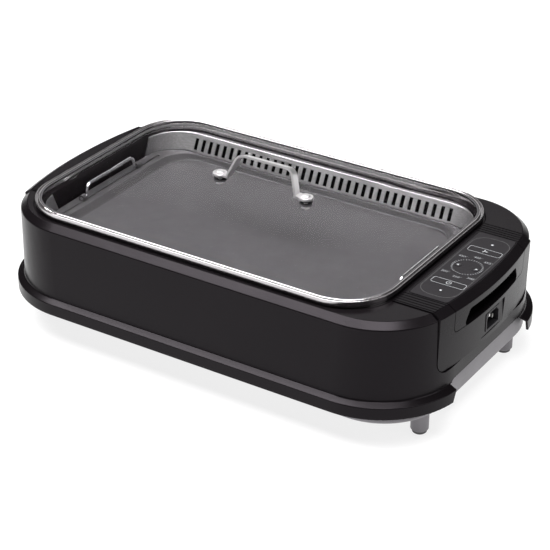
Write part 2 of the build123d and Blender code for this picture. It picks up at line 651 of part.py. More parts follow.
def feet():
    blank = rod(FOOT_RADIUS, FOOT_PAD, PAN_LOW)
    blank = chamfer(blank.edges().group_by(Axis.Z)[0], FOOT_CHAMFER)
    return group(Pos(x, y, 0) * blank for x, y in foot_places())


def foot_pads():
    blank = rod(FOOT_RADIUS - PAD_INSET, 0, FOOT_PAD)
    blank = chamfer(blank.edges().group_by(Axis.Z)[0], PAD_CHAMFER)
    return group(Pos(x, y, 0) * blank for x, y in foot_places())


# ---------------------------------------------------------------- fan

def fan_motor():
    motor = rod(FAN_MOTOR_RADIUS, PAN_FLOOR, FAN_MOTOR_SHOULDER, WELL_X)
    motor += rod(FAN_HUB_RADIUS, FAN_MOTOR_SHOULDER - 0.5, FAN_MOTOR_TOP, WELL_X)
    return motor - rod(FAN_SHAFT_RADIUS + BORE_GAP, FAN_BORE_LOW, FAN_MOTOR_TOP + 1, WELL_X)


def fan_shaft():
    return rod(FAN_SHAFT_RADIUS, FAN_SHAFT_LOW, FAN_TOP - 1.0, WELL_X)


def fan_impeller():
    """Back disc, hub and a ring of forward-leaning blades."""
    wheel = rod(FAN_RADIUS, FAN_LOW, FAN_LOW + FAN_DISC) + rod(FAN_HUB_RADIUS, FAN_LOW, FAN_TOP)
    middle = Pos((FAN_RADIUS + FAN_BLADE_INNER) / 2, 0, (FAN_LOW + FAN_TOP) / 2)
    blade = Box(FAN_RADIUS - FAN_BLADE_INNER, FAN_BLADE_THICK, FAN_TOP - FAN_LOW)
    for number in range(FAN_BLADES):
        wheel += Rot(0, 0, 360 * number / FAN_BLADES) * middle * Rot(0, 0, FAN_BLADE_TURN) * blade
    wheel += rod(FAN_RIM_OUTER, FAN_TOP - FAN_RIM, FAN_TOP) - rod(FAN_RIM_INNER, FAN_TOP - FAN_RIM, FAN_TOP)
    wheel -= rod(FAN_SHAFT_RADIUS, FAN_LOW - 1, FAN_TOP - 1.0)
    return Pos(WELL_X, 0, 0) * wheel


def fan_shroud():
    shroud = rod(SHROUD_RADIUS, PAN_FLOOR, SHROUD_TOP, WELL_X)
    shroud -= rod(SHROUD_RADIUS - SHROUD_WALL, PAN_FLOOR, SHROUD_TOP - SHROUD_WALL, WELL_X)
    return shroud - rod(SHROUD_EYE, SHROUD_TOP - SHROUD_WALL - 1, SHROUD_TOP + 1, WELL_X)


# ---------------------------------------------------------------- heater box and tray

def air_gaps(low, top):
    """Cutters for the rows of slits in front of and behind the heater box."""
    gaps = []
    for x in range(-AIR_GAP_REACH, AIR_GAP_REACH + 1, AIR_GAP_PITCH):
        x_span = (WELL_X + x - AIR_GAP_HALF, WELL_X + x + AIR_GAP_HALF)
        gaps.append(block(x_span, AIR_GAP_Y, (low, top)))
        gaps.append(block(x_span, (-AIR_GAP_Y[1], -AIR_GAP_Y[0]), (low, top)))
    return gaps


def heater_box():
    box = slab(BOX_HALF, BOX_LOW, FLANGE_TOP, WELL_X)
    box += slab(FLANGE_HALF, LEDGE_TOP, FLANGE_TOP, WELL_X)
    box -= slab(grow(BOX_HALF, -BOX_SHEET), BOX_LOW + BOX_SHEET, FLANGE_TOP + 1, WELL_X)
    end_x = WELL_X + BOX_HALF[0]
    for tail in element_tails(TAIL_HOLE_RADIUS, (end_x - 5, end_x + 5)):
        box -= tail
    for gap in air_gaps(LEDGE_TOP - 1, FLANGE_TOP + 1):
        box -= gap
    return box


def support_frame():
    """Flat ring on the heater box's flange that carries the plate's ends and the liners."""
    frame = slab(FLANGE_HALF, FLANGE_TOP, FRAME_TOP, WELL_X)
    frame -= slab(FRAME_OPENING, FLANGE_TOP - 1, FRAME_TOP + 1, WELL_X)
    for gap in air_gaps(FLANGE_TOP - 1, FRAME_TOP + 1):
        frame -= gap
    return frame


def element_route():
    """The element's loop, open at the right where its two tails run out to the terminals."""
    right, left = WELL_X + ELEMENT_HALF[0], WELL_X - ELEMENT_HALF[0]
    back = ELEMENT_HALF[1]
    points = (
        (ELEMENT_TAIL_X, -ELEMENT_TAIL_Y), (right, -ELEMENT_TAIL_Y), (right, -back), (left, -back),
        (left, back), (right, back), (right, ELEMENT_TAIL_Y), (ELEMENT_TAIL_X, ELEMENT_TAIL_Y),
    )
    radii = (ELEMENT_TAIL_CORNER,) + 4 * (ELEMENT_HALF[2],) + (ELEMENT_TAIL_CORNER,)
    return points, radii


def element_tails(radius, x_span):
    """Rods along the element's two tails."""
    tails = []
    for y in (ELEMENT_TAIL_Y, -ELEMENT_TAIL_Y):
        section = Plane.YZ.offset(x_span[0]) * Pos(y, ELEMENT_Z) * Circle(radius)
        tails.append(extrude(section, amount=x_span[1] - x_span[0]))
    return tails


def heating_element():
    points, radii = element_route()
    route = FilletPolyline(*[(x, y, ELEMENT_Z) for x, y in points], radius=radii)
    section = Plane(origin=(points[0][0], points[0][1], ELEMENT_Z), z_dir=(-1, 0, 0)) * Circle(ELEMENT_RADIUS)
    return sweep(section, path=route)


def clip_places():
    """Where the element is held: (x, y, whether the run there is along X)."""
    right, left, back = WELL_X + ELEMENT_HALF[0], WELL_X - ELEMENT_HALF[0], ELEMENT_HALF[1]
    along_x = [(WELL_X + step, side * back, True) for step in CLIP_SPOTS_X for side in (1, -1)]
    return along_x + [(left, 0, False), (right, CLIP_SPOT_Y, False), (right, -CLIP_SPOT_Y, False)]


def element_clips():
    """Pressed brackets that stand on the heater box's floor and cradle the element."""
    clips = []
    for x, y, along_x in clip_places():
        half_x, half_y = CLIP_HALF if along_x else CLIP_HALF[::-1]
        post = block((x - half_x, x + half_x), (y - half_y, y + half_y), (BOX_LOW + BOX_SHEET, ELEMENT_Z))
        tube = Pos(x, y, ELEMENT_Z) * (Rot(0, 90, 0) if along_x else Rot(90, 0, 0))
        clips.append(post - tube * Cylinder(ELEMENT_RADIUS, 30.0))
    return group(clips)


def heater_terminals():
    """Ceramic block on the outside of the heater box that takes the element's tails."""
    terminals = block(TERMINAL_X, (-TERMINAL_HALF_Y, TERMINAL_HALF_Y), (TERMINAL_LOW, COLLAR_LOW - 0.5))
    for tail in element_tails(ELEMENT_RADIUS, (TERMINAL_X[0] - 1, TERMINAL_X[1] + 1)):
        terminals -= tail
    return terminals


def temperature_sensor():
    """Stem on the heater box's floor with a cap just under the plate."""
    x, y = WELL_X + SENSOR_SPOT[0], SENSOR_SPOT[1]
    stem = rod(SENSOR_STEM_RADIUS, BOX_LOW + BOX_SHEET, SENSOR_CAP_LOW + 0.5, x, y)
    return stem + rod(SENSOR_CAP_RADIUS, SENSOR_CAP_LOW, PLATE_UNDER - 0.5, x, y)


def drip_tray():
    tray = slab(TRAY_HALF, TRAY_LOW, TRAY_TOP, WELL_X)
    tray += slab(grow(TRAY_HALF, TRAY_LIP), TRAY_TOP - TRAY_SHEET, TRAY_TOP, WELL_X)
    tray -= slab(grow(TRAY_HALF, -TRAY_SHEET), TRAY_LOW + TRAY_SHEET, TRAY_TOP + 1, WELL_X)
    return tray


# ---------------------------------------------------------------- griddle plate

def griddle_plate():
    plate = slab(PLATE_HALF, PLATE_FLANGE_LOW, PLATE_TOP, WELL_X)
    plate += slab(PLATE_BODY_HALF, PLATE_UNDER, PLATE_FLANGE_LOW + 1, WELL_X)
    plate -= stack([(PLATE_FLOOR_HALF, PLATE_FLOOR), (PLATE_RIM_HALF, PLATE_TOP)], WELL_X)
    plate = soften(plate, PLATE_ROUNDINGS)
    drain = Box(DRAIN_WIDTH, 2 * DRAIN_HALF_Y, 2 * DRAIN_DEPTH)
    for side in (1, -1):
        plate -= Pos(WELL_X + side * DRAIN_X, 0, PLATE_TOP) * drain
    return plate


def lug_spans(side):
    """Y stretch of the pivot lug outside the bail's leg, on the front or back side."""
    inner = BAIL_HALF_Y + BAIL_WIRE + LUG_GAP
    return tuple(sorted((side * inner, side * (inner + LUG_SIZE[1]))))


def bail_lugs():
    pin = Rot(90, 0, 0) * Cylinder(BAIL_WIRE + BORE_GAP, 3 * LUG_SIZE[1])
    lugs = []
    for end in (1, -1):
        x = WELL_X + end * BAIL_X
        for side in (1, -1):
            y_span = lug_spans(side)
            lug = block((x - LUG_SIZE[0] / 2, x + LUG_SIZE[0] / 2), y_span, (PLATE_TOP, LUG_TOP))
            lug = fillet(lug.edges().filter_by(Axis.Y).group_by(Axis.Z)[-1], LUG_ROUNDING)
            lugs.append(lug - Pos(x, sum(y_span) / 2, BAIL_PIVOT_Z) * pin)
    return group(lugs)


def bail(end):
    """Round-wire handle: up from one pivot, across and down to the other."""
    x = WELL_X + end * BAIL_X
    reach = BAIL_HALF_Y + BAIL_WIRE + LUG_GAP + LUG_SIZE[1]
    points = (
        (x, -reach, BAIL_PIVOT_Z), (x, -BAIL_HALF_Y, BAIL_PIVOT_Z), (x, -BAIL_HALF_Y, BAIL_TOP_Z),
        (x, BAIL_HALF_Y, BAIL_TOP_Z), (x, BAIL_HALF_Y, BAIL_PIVOT_Z), (x, reach, BAIL_PIVOT_Z),
    )
    route = FilletPolyline(*points, radius=(BAIL_FOOT_CORNER, BAIL_CORNER, BAIL_CORNER, BAIL_FOOT_CORNER))
    section = Plane(origin=points[0], z_dir=(0, 1, 0)) * Circle(BAIL_WIRE)
    return sweep(section, path=route)


# ---------------------------------------------------------------- slotted liners

def liner_ring():
    """The wall all round, before it is cut into a front and a back piece."""
    outer = stack([
        (grow(LINER_BASE, SHEET), LINER_LOW), (grow(LINER_BASE, SHEET), LINER_TURN),
        (grow(LINER_MOUTH, SHEET), LINER_TOP),
    ], WELL_X)
    outer += slab(LINER_FLANGE, LINER_TOP - SHEET, LINER_TOP, WELL_X)
    inner = stack([
        (LINER_BASE, LINER_LOW - 1), (LINER_BASE, LINER_TURN),
        (LINER_MOUTH, LINER_TOP), (LINER_MOUTH, LINER_TOP + 1),
    ], WELL_X)
    ring = (outer & slab(LINER_FLANGE, LINER_LOW, LINER_TOP, WELL_X)) - inner
    return fillet(edges_inside(level_edges(ring, LINER_TOP), LINER_MOUTH, WELL_X), LINER_FOLD)


def liner(side):
    slope = (LINER_END_TOP - LINER_END_LOW) / (LINER_TOP - LINER_TURN)
    foot = LINER_END_LOW - slope * (LINER_TURN - LINER_LOW + 2)
    head = LINER_END_TOP + slope * 2
    low, high = LINER_LOW - 2, LINER_TOP + 2
    far = WELL_HALF[1] + 10
    corners = ((side * foot, low), (side * far, low), (side * far, high), (side * head, high))
    keep = polygon_along_x(corners, (-FAR_X, FAR_X))
    piece = liner_ring() & keep
    for number in range(SLOT_COUNT):
        x = WELL_X + (number - (SLOT_COUNT - 1) / 2) * SLOT_PITCH
        y_span = tuple(sorted(side * y for y in SLOT_CUT_Y))
        piece -= block((x - SLOT_WIDTH / 2, x + SLOT_WIDTH / 2), y_span, (SLOT_LOW, SLOT_TOP))
    return piece


# ---------------------------------------------------------------- lid

def dome_height(inset):
    """Height of the glass's upper face at a distance in from its edge."""
    climbed = max(inset - DOME_START, 0.0) / DOME_REACH
    return DOME_EDGE_Z + DOME_RISE * (1 - (1 - climbed) ** DOME_POWER)


def dome_sections(drop):
    """Rounded rectangles up the dome, lowered by drop for the underside."""
    edge = grow(LID_HALF, -GLASS_EDGE_INSET)
    insets = [0.0] + [DOME_START + DOME_REACH * step / DOME_STEPS for step in range(DOME_STEPS + 1)]
    sections = []
    for inset in insets:
        radius = max(edge[2] - inset, DOME_MIN_RADIUS)
        sections.append(((edge[0] - inset, edge[1] - inset, radius), dome_height(inset) - drop))
    return sections


def handle_places():
    return ((HANDLE_X - HANDLE_STEP, 0), (HANDLE_X + HANDLE_STEP, 0))


def lid_glass():
    upper = dome_sections(0)
    lower = dome_sections(GLASS)
    bottom = lower[0][1]
    pane = stack([(upper[0][0], bottom)] + upper, WELL_X)
    hollow = stack([(lower[1][0], bottom - 1)] + lower[1:], WELL_X)
    pane -= hollow
    for x, y in handle_places():
        pane -= rod(HANDLE_HOLE, DOME_TOP - 2 * GLASS, DOME_TOP + 1, x, y)
    return pane


def lid_rim():
    """Steel rim round the glass: outer wall, groove, rounded bead, and a skirt that stands in the seat."""
    rim = slab(LID_HALF, LID_LOW, LID_TOP, WELL_X)
    rim += slab(grow(LID_HALF, -RIM_SKIRT_INSET), SEAT_Z + FIT, LID_TOP, WELL_X)
    rim -= slab(grow(LID_HALF, -RIM_WALL), RIM_GROOVE_LOW, LID_TOP + 1, WELL_X)
    rim += slab(grow(LID_HALF, -RIM_GROOVE), LID_LOW, RIM_BEAD_TOP, WELL_X)
    rim -= slab(grow(LID_HALF, -RIM_WIDTH), DECK_Z - 5, LID_TOP + 1, WELL_X)
    return soften(rim, RIM_ROUNDINGS) - glass_edge()


def lid_gasket():
    """Silicone ring that closes the gap between the rim's bead and the glass."""
    outer, inner = grow(LID_HALF, -RIM_WIDTH), grow(LID_HALF, -RIM_WIDTH - GASKET_WIDTH)
    ring = slab(outer, DOME_EDGE_Z, GASKET_TOP, WELL_X) - slab(inner, DOME_EDGE_Z, GASKET_TOP, WELL_X)
    return ring - glass_edge()


def glass_edge():
    """The glass's outer form near its edge, which the rim's channel holds."""
    upper = dome_sections(0)
    lower = dome_sections(GLASS)
    return stack([(upper[0][0], lower[0][1])] + upper[:3], WELL_X)


def washer(low, x):
    return rod(WASHER_RADIUS, low, low + WASHER_THICK, x) - rod(HANDLE_HOLE, low, low + WASHER_THICK, x)


def upper_washers():
    return group(washer(DOME_TOP, x) for x, y in handle_places())


def lower_washers():
    return group(washer(DOME_TOP - GLASS - WASHER_THICK, x) for x, y in handle_places())


def lid_handle():
    """Flat strap bent into a bridge, with a drilled eye at each foot."""
    base = DOME_TOP + WASHER_THICK
    tilt = math.hypot(HANDLE_LEAN, HANDLE_RISE)      # length of a leg along its slope, seen from the end
    plane = Plane(
        origin=(HANDLE_X, 0, base + HANDLE_STRAP / 2), x_dir=(1, 0, 0),
        z_dir=(0, -HANDLE_RISE / tilt, HANDLE_LEAN / tilt),
    )
    bridge = FilletPolyline(
        (-HANDLE_LEG_LOW, 0), (-HANDLE_LEG_TOP, tilt), (HANDLE_LEG_TOP, tilt), (HANDLE_LEG_LOW, 0),
        radius=HANDLE_CORNER,
    )
    strap = extrude(plane * trace(bridge, line_width=HANDLE_STRAP), amount=HANDLE_WIDTH / 2, both=True)
    reach_x, reach_y, top = HANDLE_STEP + HANDLE_RING, 2 * HANDLE_LEAN + HANDLE_WIDTH, base + 2 * HANDLE_RISE
    strap &= block((HANDLE_X - reach_x, HANDLE_X + reach_x), (-reach_y, reach_y), (base, top))
    for x, y in handle_places():
        side = math.copysign(1, x - HANDLE_X)
        x_span = sorted((x, HANDLE_X + side * (HANDLE_LEG_LOW - 1.5)))
        foot = block(x_span, (-HANDLE_WIDTH / 2, HANDLE_WIDTH / 2), (base, base + HANDLE_STRAP))
        strap += rod(HANDLE_RING, base, base + HANDLE_STRAP, x) + foot
        strap -= rod(HANDLE_HOLE, base - 1, base + 4, x)
    return strap


def handle_screws():
    base = DOME_TOP + WASHER_THICK + HANDLE_STRAP
    low = DOME_TOP - GLASS - WASHER_THICK - NUT_HEIGHT + NUT_CROWN
    screws = []
    for x, y in handle_places():
        head = rod(HANDLE_SCREW_HEAD[0], base, base + HANDLE_SCREW_HEAD[1], x)
        head = fillet(head.edges().group_by(Axis.Z)[-1], HANDLE_SCREW_ROUNDING)
        screws.append(head + rod(HANDLE_HOLE, low, base + 0.5, x))
    return group(screws)


def handle_nuts():
    top = DOME_TOP - GLASS - WASHER_THICK
    nuts = []
    for x, y in handle_places():
        blank = Pos(x, y, top - NUT_HEIGHT) * extrude(RegularPolygon(NUT_RADIUS, 6), amount=NUT_HEIGHT)
        nuts.append(blank - rod(HANDLE_HOLE, top - NUT_HEIGHT + NUT_CROWN, top + 1, x))
    return group(nuts)


# ---------------------------------------------------------------- all the pieces

def pieces():
    return {
        "outer_housing": outer_housing(),
        "control_pod": control_pod(),
        "left_end_cover": left_end_cover(),
        "inlet_socket": inlet_socket(),
        "inlet_pins": inlet_pins(),
        "control_panel": control_panel(),
        "dial_light_ring": dial_light_ring(),
        "status_lamps": status_lamps(),
        "fan_key": long_key(LONG_KEY_Y),
        "power_key": long_key(-LONG_KEY_Y),
        "temperature_up_key": round_key(DIAL_X + ROUND_KEY_STEP),
        "temperature_down_key": round_key(DIAL_X - ROUND_KEY_STEP),
        "control_board": control_board(),
        "tact_switches": tact_switches(),
        "board_screws": board_screws(),
        "bottom_pan": bottom_pan(),
        "pan_screws": pan_screws(),
        "feet": feet(),
        "foot_pads": foot_pads(),
        "fan_motor": fan_motor(),
        "fan_shaft": fan_shaft(),
        "fan_impeller": fan_impeller(),
        "fan_shroud": fan_shroud(),
        "heater_box": heater_box(),
        "support_frame": support_frame(),
        "heating_element": heating_element(),
        "element_clips": element_clips(),
        "heater_terminals": heater_terminals(),
        "temperature_sensor": temperature_sensor(),
        "drip_tray": drip_tray(),
        "griddle_plate": griddle_plate(),
        "bail_lugs": bail_lugs(),
        "bail_left": bail(-1),
        "bail_right": bail(1),
        "front_liner": liner(-1),
        "rear_liner": liner(1),
        "lid_glass": lid_glass(),
        "lid_rim": lid_rim(),
        "lid_gasket": lid_gasket(),
        "lid_handle": lid_handle(),
        "upper_washers": upper_washers(),
        "lower_washers": lower_washers(),
        "handle_screws": handle_screws(),
        "handle_nuts": handle_nuts(),
    }


os.makedirs("parts", exist_ok=True)
for name, shape in pieces().items():
    export_step(shape, f"parts/{name}.step")
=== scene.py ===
"""Looks of the electric griddle: camera, light, materials, printed marks and the pressed glass dome.

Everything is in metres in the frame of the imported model: +X is the control end, +Y the back, +Z up.
"""

import json
import math

import bmesh
import bpy
from mathutils import Matrix, Vector

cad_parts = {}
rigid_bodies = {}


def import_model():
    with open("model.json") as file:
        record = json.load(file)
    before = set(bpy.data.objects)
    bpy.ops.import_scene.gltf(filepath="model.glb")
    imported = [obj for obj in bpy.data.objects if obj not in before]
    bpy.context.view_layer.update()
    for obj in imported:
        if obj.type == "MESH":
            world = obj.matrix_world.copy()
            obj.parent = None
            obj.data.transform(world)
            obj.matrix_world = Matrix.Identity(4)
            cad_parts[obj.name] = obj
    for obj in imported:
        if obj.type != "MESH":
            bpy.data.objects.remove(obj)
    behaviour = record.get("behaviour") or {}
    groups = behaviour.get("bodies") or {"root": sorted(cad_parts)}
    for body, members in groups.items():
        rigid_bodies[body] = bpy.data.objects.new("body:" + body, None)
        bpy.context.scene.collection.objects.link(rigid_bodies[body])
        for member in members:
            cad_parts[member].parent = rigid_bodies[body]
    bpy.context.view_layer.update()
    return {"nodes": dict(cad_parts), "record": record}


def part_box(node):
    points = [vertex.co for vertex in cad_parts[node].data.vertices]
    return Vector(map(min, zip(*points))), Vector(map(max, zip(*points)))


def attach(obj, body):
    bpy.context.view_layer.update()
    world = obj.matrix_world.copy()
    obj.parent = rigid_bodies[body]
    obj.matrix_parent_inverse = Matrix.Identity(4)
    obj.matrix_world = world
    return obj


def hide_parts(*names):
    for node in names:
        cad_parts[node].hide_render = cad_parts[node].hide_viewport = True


MM = 0.001

# Camera: a long lens that looks down at the front right corner. Lens and sensor are in millimetres.
CAMERA_PLACE = (0.8935, -1.3773, 0.9665)
CAMERA_RIGHT = (0.8402, 0.5423, 0.0)
CAMERA_BACK = (0.4748, -0.7357, 0.4830)
CAMERA_LENS = 119.31
CAMERA_SENSOR = 36.0
CAMERA_NEAR, CAMERA_FAR = 0.05, 50.0

# Light: a dim world, a grey floor that glows until it looks white, and softboxes above.
WHITE = (1.0, 1.0, 1.0, 1.0)
WORLD_GREY = 0.06
FLOOR_SIZE = 24.0
FLOOR_COLOUR = (0.20, 0.20, 0.20)
FLOOR_ROUGHNESS = 0.8
FLOOR_GLOW = 0.80
SOFTBOXES = (
    # name, place, turn in degrees, size, power in watts
    ("overhead_key", (-0.3, -0.55, 2.0), (0.0, 0.0, 0.0), (2.8, 1.45), 165.0),
    ("back_panel", (-1.02, 1.92, 1.55), (-56.0, 0.0, 28.0), (1.8, 0.75), 3.9),
    ("right_fill", (2.2, 0.3, 1.6), (0.0, 55.0, 0.0), (1.0, 1.4), 12.0),
)

# Most values of a noise texture lie in this range, which colours and roughness are spread over.
NOISE_RANGE = (0.3, 0.7)

# Plastics: their gloss is a trace purple, and tone and roughness drift a little over wide patches.
GLOSS_TINT = (1.0, 0.90, 0.99, 1.0)
PLASTIC_SHADES = (0.88, 1.12)
PLASTIC_CLOUD = 60 * MM
PLASTIC_PATCH = 25 * MM
PLASTIC_ROUGHNESS_DRIFT = 0.02

# Brushed metals: shades of the lines, and how far the roughness falls and rises along them.
BRUSHED_SHADES = (0.86, 1.10)
BRUSHED_ROUGHNESS_DRIFT = (-0.06, 0.08)

# Polished metals: shades, smudges and ripples.
POLISHED_SHADES = (0.93, 1.0)
POLISHED_CLOUD = 20 * MM
SMUDGE_SIZE = 12 * MM
SMUDGE_ROUGHNESS = 0.08
RIPPLE_SIZE, RIPPLE_HEIGHT = 6 * MM, 0.006 * MM

# Glass. Its index is low, for the coated glass shows hardly any reflection.
GLASS_TONE = (0.985, 0.985, 0.985)
GLASS_SHADOW_TONE = (0.96, 0.96, 0.96, 1.0)
GLASS_ROUGHNESS = 0.02
GLASS_ROUGHNESS_MOST = 0.025
GLASS_PATCH = 70 * MM
GLASS_IOR = 1.04

# Printed marks: how thick the ink is, and how far it is lifted off its surface.
MARK_THICK = 0.05 * MM
MARK_LIFT = 0.01 * MM

# Dial scale: a ring of ticks, and numbers whose places are in millimetres from the dial's middle.
TICK_COUNT = 36
TICK_RADII = (13.9 * MM, 15.7 * MM)
TICK_HALF_ANGLE = math.radians(0.7)
WIDE_TICK_HALF_ANGLE = math.radians(1.1)
TICK_ARC_STEPS = 2
NUMBER_HEIGHT = 3.1 * MM
FONT_SIZE_TO_HEIGHT = 1.4
NUMBER_STRETCH = 1.15
NUMBER_THINNED = 0.09 * MM
NUMBERS = (
    ("200\N{DEGREE SIGN}", -13.6, -18.0), ("250\N{DEGREE SIGN}", 0.8, -22.4),
    ("300\N{DEGREE SIGN}", 14.2, -18.6), ("350\N{DEGREE SIGN}", 13.6, 17.6),
    ("400\N{DEGREE SIGN}", 0.8, 21.9), ("450\N{DEGREE SIGN}", -13.4, 17.5),
)

# Outline round each long key. The hidden flange is how far a key's node spreads past its cap.
KEY_FLANGE = 1.2 * MM
OUTLINE_GAP = 0.8 * MM         # from the cap's edge to the outline's outer edge
OUTLINE_WIDTH = 0.36 * MM
OUTLINE_CORNER = 2.6 * MM
OUTLINE_CORNER_STEPS = 12

# Thin frame round all the controls.
FRAME_HALF_X, FRAME_HALF_Y = 19.7 * MM, 65.0 * MM
FRAME_CORNER = 15.0 * MM
FRAME_SHIFT = -1.3 * MM
FRAME_WIDTH = 0.35 * MM
FRAME_CORNER_STEPS = 16

# Icons. The outlines are in millimetres: (along, across) from the middle of the key.
BLADE_COUNT = 3
BLADE_OUTLINE = ((0.7, -0.25), (1.6, -0.95), (2.7, -0.55), (2.9, 0.35), (1.8, 0.35), (0.7, 0.25))
HUB_RADIUS = 0.55 * MM
HUB_STEPS = 16
POWER_RADII = (2.1 * MM, 2.7 * MM)
POWER_START, POWER_END = math.radians(125), math.radians(415)
POWER_STEPS = 24
POWER_STROKE_HALF = 0.3 * MM
POWER_STROKE_ENDS = (0.4 * MM, 3.2 * MM)
ARROW_OUTLINE = ((-1.4, -1.9), (-0.6, -1.0), (-0.4, 0.0), (-0.6, 1.0), (-1.4, 1.9), (2.0, 0.0))

# Glass dome: how it rises from its flat edge, the same curve as the CAD lid.
DOME_CORNER = 51.9 * MM
DOME_MARGIN = 1.0 * MM
DOME_START = 4.0 * MM
DOME_REACH = 102.0 * MM
DOME_RISE = 17.6 * MM
DOME_POWER = 2.4
DOME_RINGS = 40
DOME_RING_POWER = 1.3          # above one, so that the rings lie closer where the dome curves most
DOME_CORNER_STEPS = 24
GLASS_THICK = 4.0 * MM
GLASS_EDGE_ROUND = 0.5 * MM
GLASS_FLAT_RING = 2.0 * MM     # a ring on the flat edge, between its rounding and the dome


def clear_defaults():
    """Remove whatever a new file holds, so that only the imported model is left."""
    for thing in list(bpy.data.objects):
        bpy.data.objects.remove(thing)


clear_defaults()
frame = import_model()
nodes = frame["nodes"]


# ---------------------------------------------------------------- camera and light

def add_camera():
    """Camera whose right and back directions are given, and up follows from them."""
    data = bpy.data.cameras.new("camera")
    data.lens = CAMERA_LENS
    data.sensor_width = CAMERA_SENSOR
    data.clip_start = CAMERA_NEAR
    data.clip_end = CAMERA_FAR
    camera = bpy.data.objects.new("camera", data)
    right = Vector(CAMERA_RIGHT).normalized()
    back = Vector(CAMERA_BACK).normalized()
    up = back.cross(right)
    turn = Matrix((right, up, back)).transposed().to_4x4()
    camera.matrix_world = Matrix.Translation(CAMERA_PLACE) @ turn
    bpy.context.scene.collection.objects.link(camera)
    bpy.context.scene.camera = camera


def add_softbox(name, place, turn, size, power):
    """Rectangular area light that shines down, then turned about X, Y and Z by turn, in degrees."""
    data = bpy.data.lights.new(name, "AREA")
    data.shape = "RECTANGLE"
    data.size, data.size_y = size
    data.energy = power
    light = bpy.data.objects.new(name, data)
    light.location = place
    light.rotation_euler = [math.radians(angle) for angle in turn]
    bpy.context.scene.collection.objects.link(light)


def add_world():
    """Even, dim light from all round."""
    world = bpy.data.worlds.new("studio")
    world.use_nodes = True
    background = world.node_tree.nodes["Background"]
    background.inputs["Color"].default_value = WHITE
    background.inputs["Strength"].default_value = WORLD_GREY
    bpy.context.scene.world = world


def add_floor():
    """Wide table top under the object."""
    half = FLOOR_SIZE / 2
    corners = [(-half, -half), (half, -half), (half, half), (-half, half)]
    mesh = bpy.data.meshes.new("floor")
    mesh.from_pydata([(x, y, 0.0) for x, y in corners], [], [(0, 1, 2, 3)])
    floor = bpy.data.objects.new("floor", mesh)
    bpy.context.scene.collection.objects.link(floor)
    material = new_material("floor_paint", FLOOR_COLOUR, FLOOR_ROUGHNESS)
    shader_of(material).inputs["Emission Color"].default_value = WHITE
    shader_of(material).inputs["Emission Strength"].default_value = FLOOR_GLOW
    mesh.materials.append(material)


# ---------------------------------------------------------------- material helpers

def new_material(name, colour, roughness, metallic=0.0, specular=0.5):
    """Principled material with the values that are the same all over the surface."""
    material = bpy.data.materials.new(name)
    material.use_nodes = True
    shader = material.node_tree.nodes["Principled BSDF"]
    shader.inputs["Base Color"].default_value = (*colour, 1.0)
    shader.inputs["Roughness"].default_value = roughness
    shader.inputs["Metallic"].default_value = metallic
    shader.inputs["Specular IOR Level"].default_value = specular
    return material


def shader_of(material):
    return material.node_tree.nodes["Principled BSDF"]


def add_noise(material, size, stretch=(1.0, 1.0, 1.0), detail=3.0):
    """Noise whose features are about size metres across, drawn out where stretch is below one."""
    tree = material.node_tree
    place = tree.nodes.new("ShaderNodeTexCoord")
    mapping = tree.nodes.new("ShaderNodeMapping")
    mapping.inputs["Scale"].default_value = [part / size for part in stretch]
    noise = tree.nodes.new("ShaderNodeTexNoise")
    noise.inputs["Scale"].default_value = 1.0
    noise.inputs["Detail"].default_value = detail
    tree.links.new(place.outputs["Object"], mapping.inputs["Vector"])
    tree.links.new(mapping.outputs["Vector"], noise.inputs["Vector"])
    return noise.outputs["Fac"]


def vary_colour(material, dark, light, size, stretch=(1.0, 1.0, 1.0)):
    """Cloudy change of tone between two colours."""
    tree = material.node_tree
    ramp = tree.nodes.new("ShaderNodeValToRGB")
    for element, place, tone in zip(ramp.color_ramp.elements, NOISE_RANGE, (dark, light)):
        element.position = place
        element.color = (*tone, 1.0)
    tree.links.new(add_noise(material, size, stretch), ramp.inputs["Fac"])
    tree.links.new(ramp.outputs["Color"], shader_of(material).inputs["Base Color"])


def vary_roughness(material, low, high, size, stretch=(1.0, 1.0, 1.0)):
    """Patches that are a little duller or shinier."""
    tree = material.node_tree
    spread = tree.nodes.new("ShaderNodeMapRange")
    spread.inputs["From Min"].default_value = NOISE_RANGE[0]
    spread.inputs["From Max"].default_value = NOISE_RANGE[1]
    spread.inputs["To Min"].default_value = low
    spread.inputs["To Max"].default_value = high
    tree.links.new(add_noise(material, size, stretch), spread.inputs["Value"])
    tree.links.new(spread.outputs["Result"], shader_of(material).inputs["Roughness"])


def add_bump(material, size, height, stretch=(1.0, 1.0, 1.0)):
    """Surface grain of the given height in metres."""
    tree = material.node_tree
    bump = tree.nodes.new("ShaderNodeBump")
    bump.inputs["Distance"].default_value = height
    tree.links.new(add_noise(material, size, stretch, detail=2.0), bump.inputs["Height"])
    tree.links.new(bump.outputs["Normal"], shader_of(material).inputs["Normal"])


def shades_of(tone, factors):
    """The tone times each of the two factors: its dark and its light shade."""
    return [tuple(factor * part for part in tone) for factor in factors]


def plastic(name, tone, roughness, specular=0.5, grain=0.6 * MM, grain_height=0.01 * MM):
    """Moulded plastic: nearly even tone, patchy gloss and a fine spark-eroded grain."""
    material = new_material(name, tone, roughness, specular=specular)
    shader_of(material).inputs["Specular Tint"].default_value = GLOSS_TINT
    vary_colour(material, *shades_of(tone, PLASTIC_SHADES), PLASTIC_CLOUD)
    low, high = roughness - PLASTIC_ROUGHNESS_DRIFT, roughness + PLASTIC_ROUGHNESS_DRIFT
    vary_roughness(material, low, high, PLASTIC_PATCH)
    add_bump(material, grain, grain_height)
    return material


